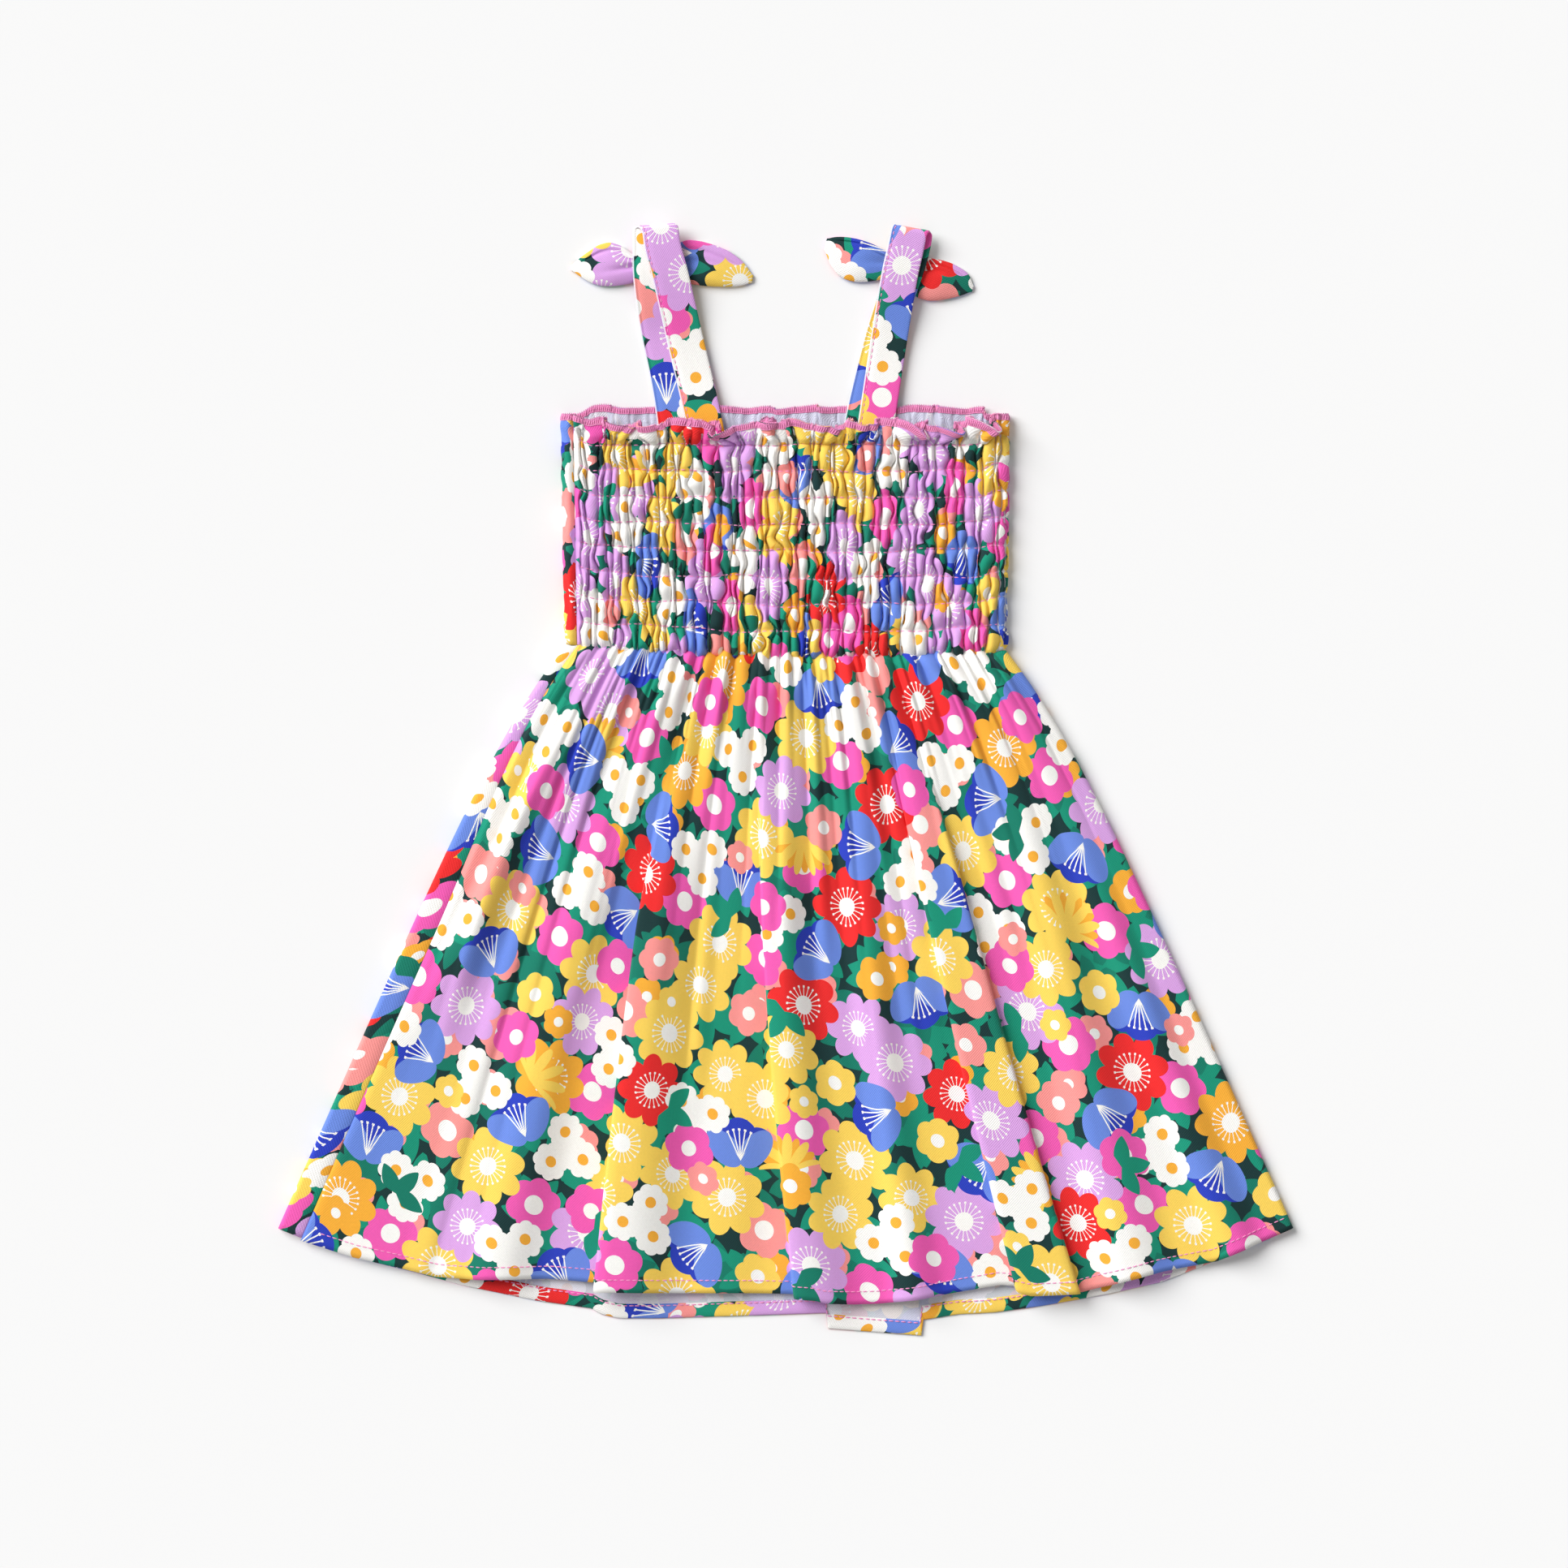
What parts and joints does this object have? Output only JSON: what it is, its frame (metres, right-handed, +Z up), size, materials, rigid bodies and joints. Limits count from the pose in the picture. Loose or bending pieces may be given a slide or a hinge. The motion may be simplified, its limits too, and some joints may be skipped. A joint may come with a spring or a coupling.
{
  "type": "toddler sundress",
  "caption": "Toddler's sundress laid flat: shirred bodice with a frill, gathered skirt, folded shoulder straps with tied bows.",
  "frame": {"origin": "centre of the dress's outline, on the surface that it lies on", "axes": "+X across the dress towards the picture's right, +Y from the hem up to the straps, +Z up from the surface"},
  "size_m": [0.4748, 0.5183, 0.0117],
  "materials": {
    "printed_cotton": "matte crinkled cotton with a bright floral print on dark teal"
  },
  "bodies": {
    "root": {"bodice_front": "printed_cotton", "bodice_back": "printed_cotton", "skirt_front": "printed_cotton", "skirt_back": "printed_cotton", "strap_left": "printed_cotton", "strap_right": "printed_cotton", "bow_left": "printed_cotton", "bow_right": "printed_cotton"}
  },
  "joints": []
}
